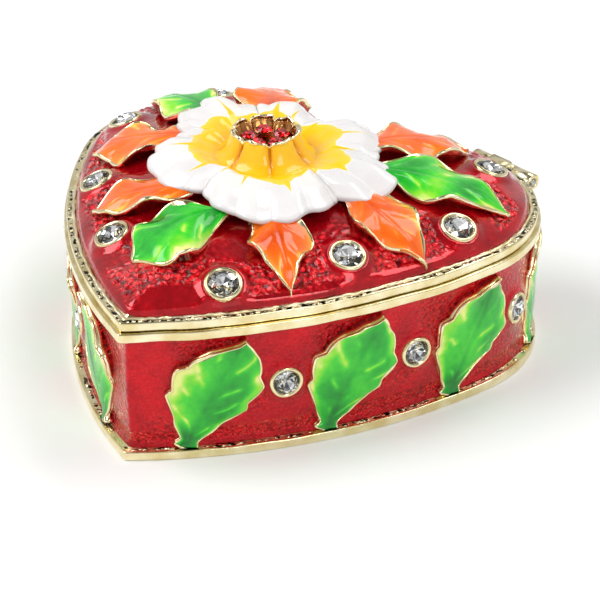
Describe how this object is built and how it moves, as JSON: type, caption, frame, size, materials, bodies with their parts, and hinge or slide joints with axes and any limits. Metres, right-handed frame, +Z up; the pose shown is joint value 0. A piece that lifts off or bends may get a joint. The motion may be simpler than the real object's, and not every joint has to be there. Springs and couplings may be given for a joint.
{
  "type": "trinket box",
  "caption": "Heart-shaped enamelled metal trinket box with a hinged domed lid, a raised flower, leaves, and faceted stones in round bezels.",
  "frame": {"origin": "on the underside, on the mid plane of the heart, where the outline's lobes and tip are about equally far away", "axes": "+Z up out of the lid, -Y towards the heart's tip, +Y towards the cleft and the hinge, +X towards the lobe that carries the hinge"},
  "size_m": [0.065, 0.0653, 0.0304],
  "materials": {
    "gold_plate": "polished pale gold plating",
    "red_enamel": "glossy translucent enamel over a stippled ground",
    "green_enamel": "glossy enamel shaded to yellow-green",
    "orange_enamel": "glossy enamel",
    "white_enamel": "glossy enamel with yellow rays at the middle",
    "yellow_enamel": "glossy enamel",
    "clear_stone": "faceted and foil backed",
    "red_stone": "faceted and foil backed",
    "bright_steel": "nickel plated"
  },
  "bodies": {
    "base": {"base_enamel": "red_enamel", "base_magnet": "bright_steel", "base_shell": "gold_plate", "hinge_pin": "bright_steel", "side_leaf_left_1": "green_enamel", "side_leaf_left_2": "green_enamel", "side_leaf_left_3": "green_enamel", "side_leaf_left_4": "green_enamel", "side_leaf_left_5": "green_enamel", "side_leaf_right_1": "green_enamel", "side_leaf_right_2": "green_enamel", "side_leaf_right_3": "green_enamel", "side_leaf_right_4": "green_enamel", "side_leaf_right_5": "green_enamel", "side_stone_left_1": "clear_stone", "side_stone_left_2": "clear_stone", "side_stone_left_3": "clear_stone", "side_stone_left_4": "clear_stone", "side_stone_right_1": "clear_stone", "side_stone_right_2": "clear_stone", "side_stone_right_3": "clear_stone", "side_stone_right_4": "clear_stone"},
    "lid": {"flower_cup": "yellow_enamel", "flower_petals": "white_enamel", "flower_stone_1": "red_stone", "flower_stone_2": "red_stone", "flower_stone_3": "red_stone", "flower_stone_4": "red_stone", "flower_stone_5": "red_stone", "lid_enamel": "red_enamel", "lid_leaf_back_green": "green_enamel", "lid_leaf_back_orange": "orange_enamel", "lid_leaf_front_green": "green_enamel", "lid_leaf_front_orange": "orange_enamel", "lid_leaf_left_orange": "orange_enamel", "lid_leaf_lobe_orange": "orange_enamel", "lid_leaf_right_green": "green_enamel", "lid_leaf_right_orange": "orange_enamel", "lid_leaf_side_orange": "orange_enamel", "lid_magnet": "bright_steel", "lid_shell": "gold_plate", "lid_stone_1": "clear_stone", "lid_stone_2": "clear_stone", "lid_stone_3": "clear_stone", "lid_stone_4": "clear_stone", "lid_stone_5": "clear_stone", "lid_stone_6": "clear_stone", "lid_stone_7": "clear_stone", "lid_stone_8": "clear_stone"}
  },
  "joints": [
    {"name": "lid_hinge", "type": "hinge", "parent": "base", "child": "lid", "pos_m": [0.02012, 0.02643, 0.0174], "axis": [-0.9511, 0.309, 0], "range_deg": [0, 100]}
  ]
}
